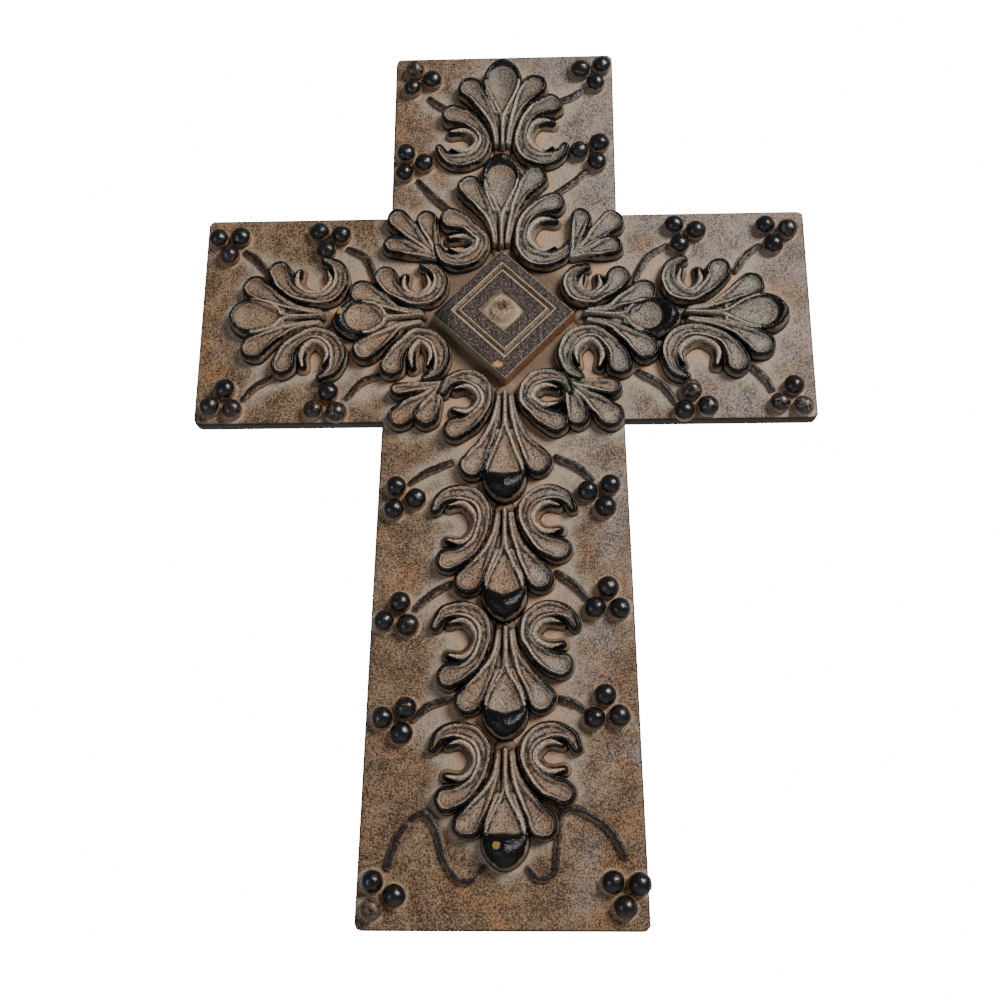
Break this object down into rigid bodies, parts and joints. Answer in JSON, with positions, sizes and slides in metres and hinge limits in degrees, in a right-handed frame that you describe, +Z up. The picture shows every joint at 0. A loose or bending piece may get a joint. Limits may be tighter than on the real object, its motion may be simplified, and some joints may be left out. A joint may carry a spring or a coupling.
{
  "type": "wall cross",
  "caption": "Flat cross with a flared lower arm, for hanging on a wall, with palmettes, volutes, berry clusters and a stepped diamond in relief.",
  "frame": {"origin": "the crossing's centre, midway between the crossbar's long edges, on the flat back face", "axes": "+X to the right and +Z up for someone who faces the cross; +Y out of the back, into the wall; the relief faces -Y"},
  "size_m": [0.313, 0.0193, 0.457],
  "materials": {
    "wall_cross": "cast resin, cold painted: matte tan with dark speckle, and glossy black-brown on berries, noses and leaf rims"
  },
  "bodies": {
    "root": {"wall_cross": "wall_cross"}
  },
  "joints": []
}
